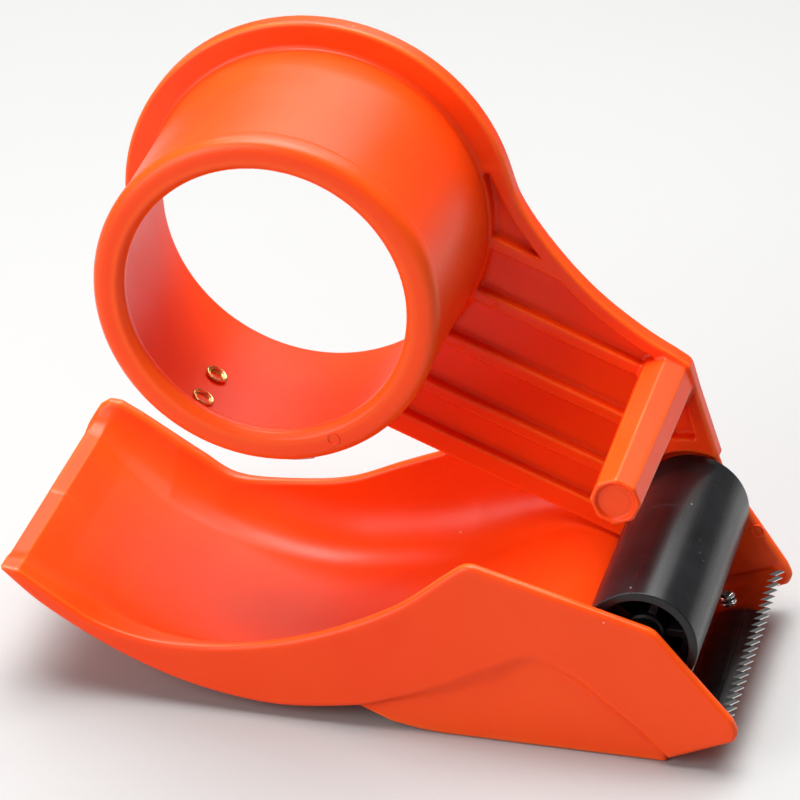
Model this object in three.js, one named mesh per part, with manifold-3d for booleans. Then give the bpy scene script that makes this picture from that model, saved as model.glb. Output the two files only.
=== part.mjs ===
// A hand-held packing tape dispenser: a hub on a ribbed side arm carries the tape roll, a curved
// trough with two side walls guides the tape to a free-running roller, and a serrated steel blade
// lies across the nose.
//
// Millimetres. X points forward to the nose, Y points across from the open side to the arm side,
// Z points up. The origin is the middle of the object's footprint, on the surface it stands on.

import * as THREE from 'three';
import { mergeVertices } from 'three/addons/utils/BufferGeometryUtils.js';
import Module from 'manifold-3d';

const wasm = await Module();
wasm.setup();

// ---- Driving dimensions ----

const halfWidth = 35.5; // outer faces of the two side walls
const wall = 2.6; // wall thickness of the mouldings
const gap = 0.3; // clearance between neighbouring pieces
const rearX = -80.8; // rear edge of the trough
const noseX = 80.8; // tip of the nose

const hub = { x: -25.7, z: 90.7, frontY: -19.5, frontRadius: 37.6, backRadius: 37.9 };
hub.lipBore = 30.6;
hub.boreFront = 34.4;
hub.boreBack = 35.3;
hub.flare = 40;
const flangeRadius = 44;

const arm = { front: 27.9, floor: 30.5, back: halfWidth - wall - gap };
const ribWidth = 3;
const post = { x: 51.8, z: 57.4, tipY: -27, tipRadius: 5.3, rootRadius: 6 };

const roller = { x: 58.5, z: 26.5, radius: 12.4, bore: 10.4, halfLength: 31.2 };
const axle = { radius: 2, halfLength: 34, socketDepth: 34.4 };
const plug = { length: 8, recess: 5, boss: 3.6 };
const armClearance = 14.5; // radius of the arm's hollow around the roller

const blade = { tipX: 79, tipZ: 12.8, tilt: THREE.MathUtils.degToRad(19.6) };
blade.width = 14;
blade.thickness = 0.8;
blade.halfLength = 32.4;
blade.teeth = 23;
blade.toothDepth = 2.35;
blade.screwBack = 11.5; // screw line, measured back from the tooth tips
blade.screwY = 22;
const bladeScrew = { shank: 1.1, head: 2, headHeight: 1.4, length: 6.5, hole: 1.6 };

const jointScrew = { shank: 1.3, head: 2.6, headHeight: 1.3, length: 4.6 };
const jointSeatY = halfWidth - 1.6; // the joint screws' heads sit in counterbores
const jointScrewPlaces = { post: [post.x, post.z], front: [37, 22.8], rear: [8, 34.2] };

const springAngle = THREE.MathUtils.degToRad(241); // where the core spring is riveted to the hub
const spring = { sweep: THREE.MathUtils.degToRad(46), thickness: 0.5, halfWidth: 9, bulge: 2.2 };
spring.midY = -2.5;
const eyelet = { spacing: 11, hole: 1, tube: 1.5, flange: 2.5, flangeHeight: 0.5 };

const soleInset = 1.5; // the sole's side faces sit in from the walls' outer faces
const soleFrontX = 65.8;

// ---- Plane outlines, in X and Z ----

const point = (x, z) => new THREE.Vector2(x, z);

function curveThrough(pairs, steps) {
  const curve = new THREE.SplineCurve(pairs.map(([x, z]) => point(x, z)));
  return curve.getPoints(steps);
}

function arcPoints(x, z, radius, startDegrees, endDegrees, steps) {
  const points = [];
  for (let i = 0; i <= steps; i += 1) {
    const degrees = startDegrees + ((endDegrees - startDegrees) * i) / steps;
    const angle = THREE.MathUtils.degToRad(degrees);
    points.push(point(x + radius * Math.cos(angle), z + radius * Math.sin(angle)));
  }
  return points;
}

// The trough is low under the hub and rises to a crest in front of it.
const scoopUnderside = [
  [rearX, 28.2], [-71.2, 20.3], [-55.5, 11.5], [-38.8, 5.4], [-20.8, 2.8], [-4, 4.6],
];

// From the crest the floor falls away under the roller, as far as the blade ledge.
const floorUnderside = curveThrough([
  ...scoopUnderside, [8, 7.2], [16.4, 10.6], [24, 14.2], [32, 16.6], [40, 15.2],
  [46, 11.8], [52, 9], [58.5, 7.3], [63.8, 6.8],
], 42);

// The walls' lower edge arches higher than the floor and comes down to the foot of the nose.
const wallFoot = curveThrough([
  ...scoopUnderside, [5, 7.3], [16.4, 12.6], [26, 18.6], [35.5, 22.9], [44.6, 19.4], [52, 13.4],
  [59.4, 7.8], [66, 1.6],
], 39);

function offsetUp(points, distance) {
  return points.map((here, i) => {
    const before = points[Math.max(i - 1, 0)];
    const after = points[Math.min(i + 1, points.length - 1)];
    const along = after.clone().sub(before).normalize();
    return point(here.x - along.y * distance, here.y + along.x * distance);
  });
}

// ---- Solids ----

function solid(geometry) {
  geometry.deleteAttribute('normal');
  geometry.deleteAttribute('uv');
  const merged = mergeVertices(geometry, 1e-4);
  const triVerts = Uint32Array.from(merged.index.array);
  const vertProperties = Float32Array.from(merged.attributes.position.array);
  if (signedVolume(vertProperties, triVerts) < 0) triVerts.reverse();
  return new wasm.Manifold(new wasm.Mesh({ numProp: 3, vertProperties, triVerts }));
}

function signedVolume(positions, triangles) {
  const corner = (i) => new THREE.Vector3().fromArray(positions, 3 * triangles[i]);
  let volume = 0;
  for (let i = 0; i < triangles.length; i += 3) {
    volume += corner(i).dot(corner(i + 1).cross(corner(i + 2))) / 6;
  }
  return volume;
}

// A slab with an X-Z outline, between two Y values.
function slab(points, fromY, toY, holes = []) {
  const shape = new THREE.Shape(points);
  shape.holes = holes.map((hole) => new THREE.Path(hole));
  const geometry = new THREE.ExtrudeGeometry(shape, { depth: toY - fromY, bevelEnabled: false });
  geometry.rotateX(Math.PI / 2);
  geometry.translate(0, toY, 0);
  return solid(geometry);
}

// A body of revolution about a line along Y through (x, z); the profile is a list of [radius, y].
function turned(x, z, profile, steps) {
  const points = profile.map(([radius, y]) => new THREE.Vector2(radius, y));
  const closed = profile[0][0] === 0 ? points : [...points, points[0].clone()];
  const geometry = new THREE.LatheGeometry(closed, steps);
  geometry.translate(x, 0, z);
  return solid(geometry);
}

function rod(x, z, radius, fromY, toY, steps = 24) {
  return turned(x, z, [[0, fromY], [radius, fromY], [radius, toY], [0, toY]], steps);
}

function box(x0, x1, y0, y1, z0, z1) {
  const geometry = new THREE.BoxGeometry(x1 - x0, y1 - y0, z1 - z0);
  geometry.translate((x0 + x1) / 2, (y0 + y1) / 2, (z0 + z1) / 2);
  return solid(geometry);
}

// A rod of one radius with a wider head, standing along +Z from the origin.
function headed(profile, steps) {
  const points = profile.map(([radius, z]) => new THREE.Vector2(radius, z));
  const geometry = new THREE.LatheGeometry(points, steps);
  geometry.rotateX(Math.PI / 2);
  return geometry;
}

function joinAll(parts) {
  return parts.reduce((whole, part) => whole.add(part));
}

function toGeometry(manifold) {
  const mesh = manifold.getMesh();
  const geometry = new THREE.BufferGeometry();
  geometry.setAttribute('position', new THREE.BufferAttribute(mesh.vertProperties, 3));
  geometry.setIndex(new THREE.BufferAttribute(mesh.triVerts, 1));
  geometry.computeVertexNormals();
  return geometry;
}

// ---- Materials ----

const orangePlastic = { color: 0xf2470f, roughness: 0.28, metalness: 0 };
const blackPlastic = { color: 0x17171a, roughness: 0.3, metalness: 0 };
const darkPlastic = { color: 0x101012, roughness: 0.5, metalness: 0 };
const steel = { color: 0xb9bcc0, roughness: 0.25, metalness: 1 };
const brass = { color: 0xb98a3c, roughness: 0.3, metalness: 1 };

const dispenser = new THREE.Group();

function addPart(name, geometry, look) {
  const mesh = new THREE.Mesh(geometry, new THREE.MeshStandardMaterial(look));
  mesh.name = name;
  dispenser.add(mesh);
  return mesh;
}

// ---- The hub and its side arm, one moulding ----

function hubAndFlange() {
  const { frontY, frontRadius, backRadius } = hub;
  return turned(hub.x, hub.z, [
    [0, frontY], [frontRadius - 1.7, frontY], [frontRadius - 0.6, frontY + 0.5],
    [frontRadius, frontY + 1.7], [frontRadius, frontY + 4.6], [frontRadius - 0.4, frontY + 5],
    [backRadius, arm.front], [flangeRadius - 0.7, arm.front], [flangeRadius, arm.front + 0.7],
    [flangeRadius, arm.back - 0.5], [flangeRadius - 0.5, arm.back], [0, arm.back],
  ], 72);
}

// The hand hole: narrow at the front lip, wider behind it, and flared at the arm's outer face.
function handHole() {
  const { frontY, lipBore, boreFront, boreBack, flare } = hub;
  const lipBack = frontY + 3.6;
  return turned(hub.x, hub.z, [
    [0, frontY - 1], [lipBore + 1.3, frontY - 1], [lipBore + 1.3, frontY],
    [lipBore + 0.4, frontY + 0.4], [lipBore, frontY + 1.2], [lipBore, lipBack - 0.6],
    [lipBore + 0.6, lipBack], [boreFront - 0.6, lipBack + 0.3], [boreFront, lipBack + 1.2],
    [boreBack, arm.front], [boreBack + 0.9, arm.front + 2], [flare - 1.6, arm.back - 1.2],
    [flare, arm.back], [flare, arm.back + 1], [0, arm.back + 1],
  ], 72);
}

const armUpperEdge = [
  [14.9, 105.6], [20, 95.1], [27.6, 84.9], [36.3, 76], [46.1, 68.7], [53.7, 64.3],
];
const armLowerEdge = { rear: point(-6, 36.9), slope: -0.391 };
const lowerEdgeZ = (x) => armLowerEdge.rear.y + armLowerEdge.slope * (x - armLowerEdge.rear.x);

// The rear end closes inside the hub; the front end hollows out around the roller.
function armOutline(inset) {
  const upper = curveThrough(armUpperEdge.map(([x, z]) => [x - inset * 0.75, z - inset * 0.66]), 10);
  const corner = [point(56.7 - inset, 61.9 - inset), point(58.8 - inset, 56.4)];
  const hollowRadius = armClearance + inset;
  const hollow = arcPoints(roller.x, roller.z, hollowRadius, 66 + inset * 6.7, 198 - inset * 1.6, 12);
  const tail = point(43 - inset * 0.8, lowerEdgeZ(43 - inset * 0.8) + inset);
  const rear = [point(-30, lowerEdgeZ(-30) + inset), point(-30, 100)];
  return [...upper, ...corner, ...hollow, tail, ...rear];
}

// Pockets between the ribs, open towards the tape side and reaching back to the hub.
function armPockets() {
  const pockets = slab(armOutline(ribWidth + 0.3), arm.front - 1, arm.floor);
  return pockets.subtract(rod(hub.x, hub.z, hub.backRadius, arm.front - 2, arm.floor + 1, 72));
}

// Ribs run parallel to the arm's lower edge; each is named by its height at the hub side.
function ribAt(zAtTen) {
  const left = zAtTen + armLowerEdge.slope * -20;
  const right = zAtTen + armLowerEdge.slope * 55;
  const half = ribWidth / 2 / Math.cos(Math.atan(armLowerEdge.slope));
  const outline = [
    point(-10, left - half), point(65, right - half), point(65, right + half),
    point(-10, left + half),
  ];
  return slab(outline, arm.front, arm.floor + 1);
}

function lowerRib() {
  const outline = [
    point(-30, lowerEdgeZ(-30)), point(43.4, lowerEdgeZ(43.4)),
    point(43.4, lowerEdgeZ(43.4) + 6), point(-30, lowerEdgeZ(-30) + 4.2),
  ];
  return slab(outline, arm.front, arm.floor + 1);
}

// Eight-sided and slightly tapered, with a round recess in its free end.
function guidePost() {
  const recess = post.tipRadius - 1.4;
  const shaft = turned(post.x, post.z, [
    [0, post.tipY], [post.tipRadius - 0.5, post.tipY], [post.tipRadius, post.tipY + 0.6],
    [post.rootRadius, arm.floor + 1], [0, arm.floor + 1],
  ], 8);
  return shaft.subtract(rod(post.x, post.z, recess, post.tipY - 1, post.tipY + 0.6, 20));
}

function eyeletPlaces() {
  return [-0.5, 0.5].map((side) => spring.midY + side * eyelet.spacing);
}

// Turns a shape made along +Z so that it points out of the hub at the spring's angle.
function outOfHub(geometry, radius, y) {
  const outward = new THREE.Vector3(Math.cos(springAngle), 0, Math.sin(springAngle));
  const turn = new THREE.Quaternion().setFromUnitVectors(new THREE.Vector3(0, 0, 1), outward);
  geometry.applyQuaternion(turn);
  const place = outward.multiplyScalar(radius).add(new THREE.Vector3(hub.x, y, hub.z));
  geometry.translate(place.x, place.y, place.z);
  return geometry;
}

function eyeletHoles() {
  const radius = eyelet.tube + gap;
  const cutter = [[0, 0], [radius, 0], [radius, 8], [0, 8]];
  return eyeletPlaces().map((y) => solid(outOfHub(headed(cutter, 16), 32, y)));
}

function jointScrewHole([x, z]) {
  const tipY = jointSeatY - jointScrew.length;
  return rod(x, z, jointScrew.shank + gap, tipY - gap, halfWidth + 1, 16);
}

function jointCounterbore([x, z]) {
  return rod(x, z, jointScrew.head + gap, jointSeatY - gap, halfWidth + 1, 24);
}

function hubArm() {
  const plate = slab(armOutline(0), arm.front, arm.back);
  const ribs = [87.9, 73.7, 59.7, 45.7].map(ribAt);
  const lattice = [...ribs, lowerRib()].map((rib) => rib.intersect(plate));
  const shell = hubAndFlange().add(plate).subtract(armPockets());
  const body = joinAll([shell, ...lattice, guidePost()]);
  const screwHoles = Object.values(jointScrewPlaces).map(jointScrewHole);
  const cuts = [handHole(), ...eyeletHoles(), ...screwHoles];
  return cuts.reduce((whole, cut) => whole.subtract(cut), body);
}

// ---- The trough with its two walls, sole and blade ledge, the other moulding ----

function floorPanel() {
  const top = offsetUp(floorUnderside, wall);
  top[0] = point(rearX, 29);
  const outline = [...floorUnderside, ...top.reverse()];
  const side = halfWidth - soleInset;
  return slab(outline, -side, side);
}

const noseTip = [point(noseX - 1.1, 12.6), point(noseX, 10.9), point(noseX, 8.9), point(noseX - 1, 7.8)];

function nearWall() {
  const top = curveThrough([
    [15.7, 38.2], [7, 30.9], [-3.9, 24.7], [-15, 20], [-26.1, 16.9], [-37.2, 15.3],
    [-48.4, 15.3], [-59.5, 18], [-68.3, 23.1], [-76.8, 28.6],
  ], 24);
  const crest = [point(60.6, 33.1), point(23.5, 41.6), point(19.8, 40.9)];
  const nose = [...noseTip].reverse();
  const outline = [
    point(rearX, 29), ...wallFoot, ...nose,
    point(63.2, 31.3), ...crest, ...top,
  ];
  return slab(outline, -halfWidth, wall - halfWidth);
}

// The far wall stands higher behind the arm, where the two mouldings are screwed together.
function farWall() {
  const top = curveThrough([
    [0.7, 31], [-8.5, 27], [-20, 21.8], [-31.7, 19.6], [-46.1, 19.1], [-54.9, 23.6],
    [-63.3, 28.6], [-68.8, 31.9],
  ], 16);
  const rearCorner = [point(-73.6, 34.4), point(-76.4, 34.6), point(-78.6, 33), point(-80, 30.6)];
  const tab = [
    point(64.8, 33.6), point(62, 41), point(57.6, 56.8), point(54.8, 61.2), point(49, 61.2),
    point(44.6, 56), point(40, 42), point(20, 36.6), point(7, 36.4),
  ];
  const nose = [...noseTip].reverse();
  const outline = [
    point(rearX, 29), ...wallFoot, ...nose, ...tab, ...top, ...rearCorner,
  ];
  return slab(outline, halfWidth - wall, halfWidth);
}

// The sole's outline, seen from the side: flat underneath, its top edge buried in what it carries.
function soleOutline(carried) {
  const buried = carried.filter((p) => p.x > -3 && p.x < soleFrontX - 1);
  const bottom = [
    point(soleFrontX, 0), point(17, 0), point(11.5, 0.4), point(5.6, 1.4), point(-1.6, 4.4),
  ];
  return [...buried.map((p) => point(p.x, p.y + 1)), ...bottom];
}

function soleSides() {
  const outer = halfWidth - soleInset;
  const inner = outer - 2;
  const outline = soleOutline(wallFoot);
  return [slab(outline, -outer, -inner), slab(outline, inner, outer)];
}

function soleRibs() {
  const side = halfWidth - wall;
  const lengthwise = slab(soleOutline(floorUnderside), -1, 1);
  const crosswise = [22, 42].map((x) => box(x, x + 2, -side, side, 0, 14.6));
  const front = box(63, soleFrontX, -side, side, 0, 5.6);
  return [lengthwise, ...crosswise, front];
}

// The clear channel above the floor, between the inner faces of the walls.
function channel() {
  const side = halfWidth - wall;
  const floorTop = offsetUp(floorUnderside, wall).filter((p) => p.x > 0);
  return slab([...floorTop, point(64, 60), point(floorTop[0].x, 60)], -side, side);
}

// Positions in the blade's own plane: "back" runs from the tooth tips down towards the roller.
function bladePlane(back, depth) {
  const x = blade.tipX - back * Math.cos(blade.tilt) + depth * Math.sin(blade.tilt);
  const z = blade.tipZ - back * Math.sin(blade.tilt) - depth * Math.cos(blade.tilt);
  return point(x, z);
}

function bladeLedge() {
  const top = blade.thickness + gap;
  const side = halfWidth - wall + 0.5;
  const outline = [
    bladePlane(16.4, top), bladePlane(16.4, top + 3), bladePlane(3.2, top + 2.2), bladePlane(3.2, top),
  ];
  return slab(outline, -side, side);
}

// Stands a shape made along +Z on the blade's plane, at a place across the nose.
function onBladePlane(geometry, back, depth, y) {
  const place = bladePlane(back, depth);
  geometry.rotateY(-blade.tilt);
  geometry.translate(place.x, y, place.y);
  return geometry;
}

const bladeScrewSides = { near: -blade.screwY, far: blade.screwY };

function bladeScrewBosses() {
  const bossDepth = blade.thickness + gap + bladeScrew.length;
  const boss = [[0, 0], [2.8, 0], [2.8, bladeScrew.length - 1], [0, bladeScrew.length - 1]];
  return Object.values(bladeScrewSides).map((y) => (
    solid(onBladePlane(headed(boss, 16), blade.screwBack, bossDepth, y))
  ));
}

function bladeScrewHoles() {
  const depth = bladeScrew.length - 0.2;
  const radius = bladeScrew.shank + gap;
  const hole = [[0, 0], [radius, 0], [radius, depth], [0, depth]];
  return Object.values(bladeScrewSides).map((y) => (
    solid(onBladePlane(headed(hole, 16), blade.screwBack, depth, y))
  ));
}

function axleSockets() {
  const face = halfWidth - wall;
  const bossRadius = 5;
  const bossFace = face - 0.9;
  return [
    rod(roller.x, roller.z, bossRadius, -face - 1, -bossFace),
    rod(roller.x, roller.z, bossRadius, bossFace, face + 1),
  ];
}

// The front joint screw sits where the far wall gives way to the sole, so a round pad carries it.
function jointPad() {
  const [x, z] = jointScrewPlaces.front;
  return rod(x, z, jointScrew.head + 2.4, halfWidth - 2, halfWidth, 32);
}

function trough() {
  const body = joinAll([
    nearWall(), farWall(), floorPanel(), ...soleSides(), ...soleRibs(), bladeLedge(),
    ...bladeScrewBosses(), jointPad(),
  ]);
  const socket = rod(roller.x, roller.z, axle.radius + gap, -axle.socketDepth, axle.socketDepth);
  const places = Object.values(jointScrewPlaces);
  const screwHoles = [...places.map(jointScrewHole), ...places.map(jointCounterbore)];
  const cuts = [socket, ...bladeScrewHoles(), ...screwHoles];
  const hollowed = joinAll([body.subtract(channel()), ...axleSockets()]);
  return cuts.reduce((whole, cut) => whole.subtract(cut), hollowed);
}

// ---- The roller ----

function rollerSleeve() {
  const { radius, bore, halfLength } = roller;
  return turned(roller.x, roller.z, [
    [bore, -halfLength], [radius - 0.3, -halfLength], [radius, -halfLength + 0.3],
    [radius, halfLength - 0.3], [radius - 0.3, halfLength], [bore, halfLength],
  ], 48);
}

// A spoked plug pressed into each end of the sleeve; it turns on the axle. Its wheel sits back in
// the sleeve, and its boss reaches out to the wall.
function rollerPlug(side) {
  const outer = arcPoints(roller.x, roller.z, roller.bore - gap, 0, 350, 35);
  const windows = [0, 1, 2, 3, 4].map((k) => {
    const start = 72 * k + 12;
    const end = 72 * (k + 1) - 12;
    return [
      ...arcPoints(roller.x, roller.z, roller.bore - gap - 1.8, start, end, 6),
      ...arcPoints(roller.x, roller.z, 4.4, end - 6, start + 6, 3),
    ];
  });
  const between = (from, to) => [side * from, side * to].sort((a, b) => a - b);
  const wheelEnd = roller.halfLength - plug.recess;
  const wheel = slab(outer, ...between(wheelEnd, wheelEnd - plug.length), windows);
  const boss = rod(roller.x, roller.z, plug.boss, ...between(wheelEnd - 1, roller.halfLength + 0.3));
  const hole = rod(roller.x, roller.z, axle.radius + gap, ...between(0, halfWidth), 16);
  return wheel.add(boss).subtract(hole);
}

function rollerAxle() {
  const { radius, halfLength } = axle;
  return turned(roller.x, roller.z, [
    [0, -halfLength], [radius - 0.4, -halfLength], [radius, -halfLength + 0.4],
    [radius, halfLength - 0.4], [radius - 0.4, halfLength], [0, halfLength],
  ], 24);
}

// ---- The blade and its screws ----

function bladeStrip() {
  const pitch = (2 * blade.halfLength) / blade.teeth;
  const outline = [point(-blade.width, -blade.halfLength)];
  for (let i = 0; i < blade.teeth; i += 1) {
    const start = -blade.halfLength + i * pitch;
    outline.push(point(-blade.toothDepth, start + 0.05), point(0, start + pitch * 0.5));
    outline.push(point(-blade.toothDepth, start + pitch - 0.05));
  }
  outline.push(point(-blade.width, blade.halfLength));
  const shape = new THREE.Shape(outline);
  shape.holes = Object.values(bladeScrewSides).map((y) => (
    new THREE.Path(arcPoints(-blade.screwBack, y, bladeScrew.hole, 0, 337.5, 15))
  ));
  const geometry = new THREE.ExtrudeGeometry(shape, { depth: blade.thickness, bevelEnabled: false });
  geometry.translate(0, 0, -blade.thickness);
  return onBladePlane(geometry, 0, 0, 0);
}

// A pan-head screw along +Z: its tip at the origin, its head on top.
function panScrew(size) {
  const { shank, head, headHeight, length } = size;
  const seat = length;
  return headed([
    [0, 0], [shank, 1], [shank, seat], [head, seat], [head, seat + headHeight * 0.4],
    [head * 0.8, seat + headHeight * 0.85], [head * 0.4, seat + headHeight], [0, seat + headHeight],
  ], 20);
}

function bladeScrewAt(y) {
  const tipDepth = bladeScrew.length - gap;
  return onBladePlane(panScrew(bladeScrew), blade.screwBack, tipDepth, y);
}

function jointScrewAt([x, z]) {
  const geometry = panScrew(jointScrew);
  geometry.rotateX(-Math.PI / 2);
  geometry.translate(x, jointSeatY - jointScrew.length, z);
  return geometry;
}

// ---- The core spring and its eyelets ----

function coreSpring() {
  const inner = hub.backRadius + gap;
  const flat = 0.14;
  const rise = (t) => (t < flat ? 0 : Math.sin(((t - flat) / (1 - flat)) * Math.PI * 0.62));
  const side = (extra) => Array.from({ length: 17 }, (_, i) => {
    const t = i / 16;
    const angle = springAngle + spring.sweep * (t - 0.1);
    const radius = inner + spring.bulge * rise(t) + extra;
    return point(hub.x + radius * Math.cos(angle), hub.z + radius * Math.sin(angle));
  });
  const outline = [...side(0), ...side(spring.thickness).reverse()];
  const strip = slab(outline, spring.midY - spring.halfWidth, spring.midY + spring.halfWidth);
  return eyeletHoles().reduce((whole, hole) => whole.subtract(hole), strip);
}

// A hollow rivet: a flange inside the bore, a tube through the hub wall and a rolled outer end.
function eyeletAt(y) {
  const inside = 34.3;
  const outside = hub.backRadius + 2 * gap + spring.thickness - inside;
  const profile = [
    [eyelet.hole, -eyelet.flangeHeight], [eyelet.flange - 0.3, -eyelet.flangeHeight],
    [eyelet.flange, -0.1], [eyelet.tube, -0.1], [eyelet.tube, outside], [eyelet.flange - 0.3, outside],
    [eyelet.flange - 0.5, outside + 0.4], [eyelet.hole, outside + 0.4],
    [eyelet.hole, -eyelet.flangeHeight],
  ];
  return outOfHub(headed(profile, 16), inside, y);
}

// ---- The assembly ----

addPart('hub_and_arm', toGeometry(hubArm()), orangePlastic);
addPart('trough', toGeometry(trough()), orangePlastic);
addPart('roller_sleeve', toGeometry(rollerSleeve()), blackPlastic);
addPart('roller_plug_near', toGeometry(rollerPlug(-1)), darkPlastic);
addPart('roller_plug_far', toGeometry(rollerPlug(1)), darkPlastic);
addPart('roller_axle', toGeometry(rollerAxle()), steel);
addPart('cutting_blade', bladeStrip(), steel);
for (const [side, y] of Object.entries(bladeScrewSides)) {
  addPart(`blade_screw_${side}`, bladeScrewAt(y), steel);
}
for (const [place, at] of Object.entries(jointScrewPlaces)) {
  addPart(`joint_screw_${place}`, jointScrewAt(at), steel);
}
addPart('core_spring', toGeometry(coreSpring()), steel);
eyeletPlaces().forEach((y, i) => {
  addPart(`eyelet_${i === 0 ? 'front' : 'rear'}`, eyeletAt(y), brass);
});

export default dispenser;
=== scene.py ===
"""Looks for the packing tape dispenser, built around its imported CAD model.

The moulded pieces are made as distance fields, in millimetres, so that every edge is rounded and
every inner corner has its fillet. A field is negative inside the solid. The frame's own boxes place
the hub, the walls and the roller.
"""
import math

import bmesh
import bpy
import numpy as np
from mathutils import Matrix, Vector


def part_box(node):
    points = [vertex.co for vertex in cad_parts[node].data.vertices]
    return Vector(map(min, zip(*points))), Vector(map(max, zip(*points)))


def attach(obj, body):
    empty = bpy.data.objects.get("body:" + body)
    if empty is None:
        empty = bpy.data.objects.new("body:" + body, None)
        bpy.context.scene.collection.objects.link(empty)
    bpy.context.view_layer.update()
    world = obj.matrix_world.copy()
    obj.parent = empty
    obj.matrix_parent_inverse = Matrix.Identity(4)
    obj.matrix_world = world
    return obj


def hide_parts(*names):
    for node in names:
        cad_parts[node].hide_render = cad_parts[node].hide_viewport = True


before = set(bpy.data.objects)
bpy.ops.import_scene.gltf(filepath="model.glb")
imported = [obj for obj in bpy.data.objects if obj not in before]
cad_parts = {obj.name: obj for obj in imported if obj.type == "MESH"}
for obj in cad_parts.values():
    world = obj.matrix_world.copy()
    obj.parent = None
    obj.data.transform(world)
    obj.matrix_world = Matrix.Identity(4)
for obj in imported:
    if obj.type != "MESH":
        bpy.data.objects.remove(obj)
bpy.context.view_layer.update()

import openvdb
from mathutils import Matrix, Vector

MM = 0.001
CELL = 0.45  # spacing of the distance fields' samples


def corners_mm(node):
    low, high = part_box(node)
    return np.array(low) / MM, np.array(high) / MM


# ---- Driving dimensions, in millimetres ----

TROUGH_LOW, TROUGH_HIGH = corners_mm("trough")
ARM_LOW, ARM_HIGH = corners_mm("hub_and_arm")
SLEEVE_LOW, SLEEVE_HIGH = corners_mm("roller_sleeve")

HALF_WIDTH = TROUGH_HIGH[1]
REAR_X = TROUGH_LOW[0]
NOSE_X = TROUGH_HIGH[0]
WALL = 2.6
INNER_FACE = HALF_WIDTH - WALL

FLANGE_RADIUS = 44
HUB_X = ARM_LOW[0] + FLANGE_RADIUS
HUB_Z = ARM_HIGH[2] - FLANGE_RADIUS
HUB_FRONT = -19.5
RING_RADIUS = 37.6  # the hub's front ring
HUB_BACK_RADIUS = 37.9  # the hub where it meets the flange
LIP_BORE = 30.6
ARM_FRONT = 27.9
POCKET_FLOOR = 30.5
ARM_BACK = ARM_HIGH[1]
POST_X, POST_Z, POST_TIP = 51.8, 57.4, ARM_LOW[1]

ROLLER_X = (SLEEVE_LOW[0] + SLEEVE_HIGH[0]) / 2
ROLLER_Z = (SLEEVE_LOW[2] + SLEEVE_HIGH[2]) / 2
ROLLER_RADIUS = (SLEEVE_HIGH[0] - SLEEVE_LOW[0]) / 2
ROLLER_END = SLEEVE_HIGH[1]
ROLLER_BORE = 10.4
PLUG_RECESS = 5
AXLE_RADIUS = 2
AXLE_GAP = 0.3
AXLE_BOSS = 5
AXLE_SOCKET_END = 34.4

BLADE_TILT = math.radians(19.6)
BLADE_TIP = (79, 12.8)
BLADE_WIDTH = 14
BLADE_HALF_LENGTH = 32.4
BLADE_TEETH = 23
TOOTH_DEPTH = 2.35
BLADE_THICKNESS = 0.8
BLADE_SCREW_BACK = 11.5
BLADE_SCREW_Y = 22
JOINT_SCREWS = ((POST_X, POST_Z), (37, 22.8), (8, 34.2))
JOINT_SCREW_HOLE = 1.6
JOINT_COUNTERBORE = 2.9
JOINT_COUNTERBORE_FLOOR = 33.6
JOINT_PAD = 5


# ---- Distance fields ----

def both(a, b, radius=None):
    """What lies in a and in b; the edge between them is rounded. The radius may vary with place."""
    if radius is None:
        return np.maximum(a, b)
    u = np.maximum(a + radius, 0)
    v = np.maximum(b + radius, 0)
    return np.minimum(np.maximum(a, b), -radius) + np.sqrt(u * u + v * v)


def either(a, b, radius=None):
    """What lies in a or in b; the corner between them is filled."""
    return -both(-a, -b, radius)


def without(a, b, radius=None):
    return both(a, -b, radius)


def between(value, low, high):
    return np.abs(value - (low + high) / 2) - (high - low) / 2


def outline_field(points, x, z):
    """Signed distance to a closed outline."""
    nearest = np.full(np.broadcast(x, z).shape, 1e9, np.float32)
    inside = np.zeros(nearest.shape, bool)
    for (ax, az), (bx, bz) in zip(points, [*points[1:], points[0]]):
        ex, ez = bx - ax, bz - az
        if ex == 0 and ez == 0:
            continue
        along = np.clip(((x - ax) * ex + (z - az) * ez) / (ex * ex + ez * ez), 0, 1)
        away_x = x - ax - ex * along
        away_z = z - az - ez * along
        nearest = np.minimum(nearest, away_x * away_x + away_z * away_z)
        if ez != 0:
            inside ^= ((az > z) != (bz > z)) & (x < ax + ex * (z - az) / ez)
    return np.where(inside, -1, 1).astype(np.float32) * np.sqrt(nearest)


def cylinder_field(x, z, centre, radius):
    return np.hypot(x - centre[0], z - centre[1]) - radius


def turned_field(profile, centre, x, y, z):
    """A body of revolution about a line along Y; the profile is an outline in radius and Y."""
    radii = np.arange(0, 70, 0.1, dtype=np.float32)
    table = outline_field(profile, radii[:, None], y.ravel()[None, :])
    distance = np.hypot(x - centre[0], z - centre[1])[:, 0, :]
    field = np.empty((distance.shape[0], y.size, distance.shape[1]), np.float32)
    for j in range(y.size):
        field[:, j, :] = np.interp(distance, radii, table[:, j])
    return field


# ---- Outlines ----

def curve_through(points, steps):
    """A Catmull-Rom curve through the points."""
    points = np.array(points, float)
    last = len(points) - 1
    places = np.linspace(0, last, steps + 1)
    curve = []
    for place in places:
        i = min(int(place), last - 1)
        t = place - i
        p0, p1 = points[max(i - 1, 0)], points[i]
        p2, p3 = points[i + 1], points[min(i + 2, last)]
        v0, v1 = (p2 - p0) / 2, (p3 - p1) / 2
        cubic = (2 * p1 - 2 * p2 + v0 + v1) * t ** 3
        square = (-3 * p1 + 3 * p2 - 2 * v0 - v1) * t ** 2
        curve.append(tuple(cubic + square + v0 * t + p1))
    return curve


def arc(centre, radius, start, end, steps):
    angles = np.radians(np.linspace(start, end, steps + 1))
    return [(centre[0] + radius * math.cos(a), centre[1] + radius * math.sin(a)) for a in angles]


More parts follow.
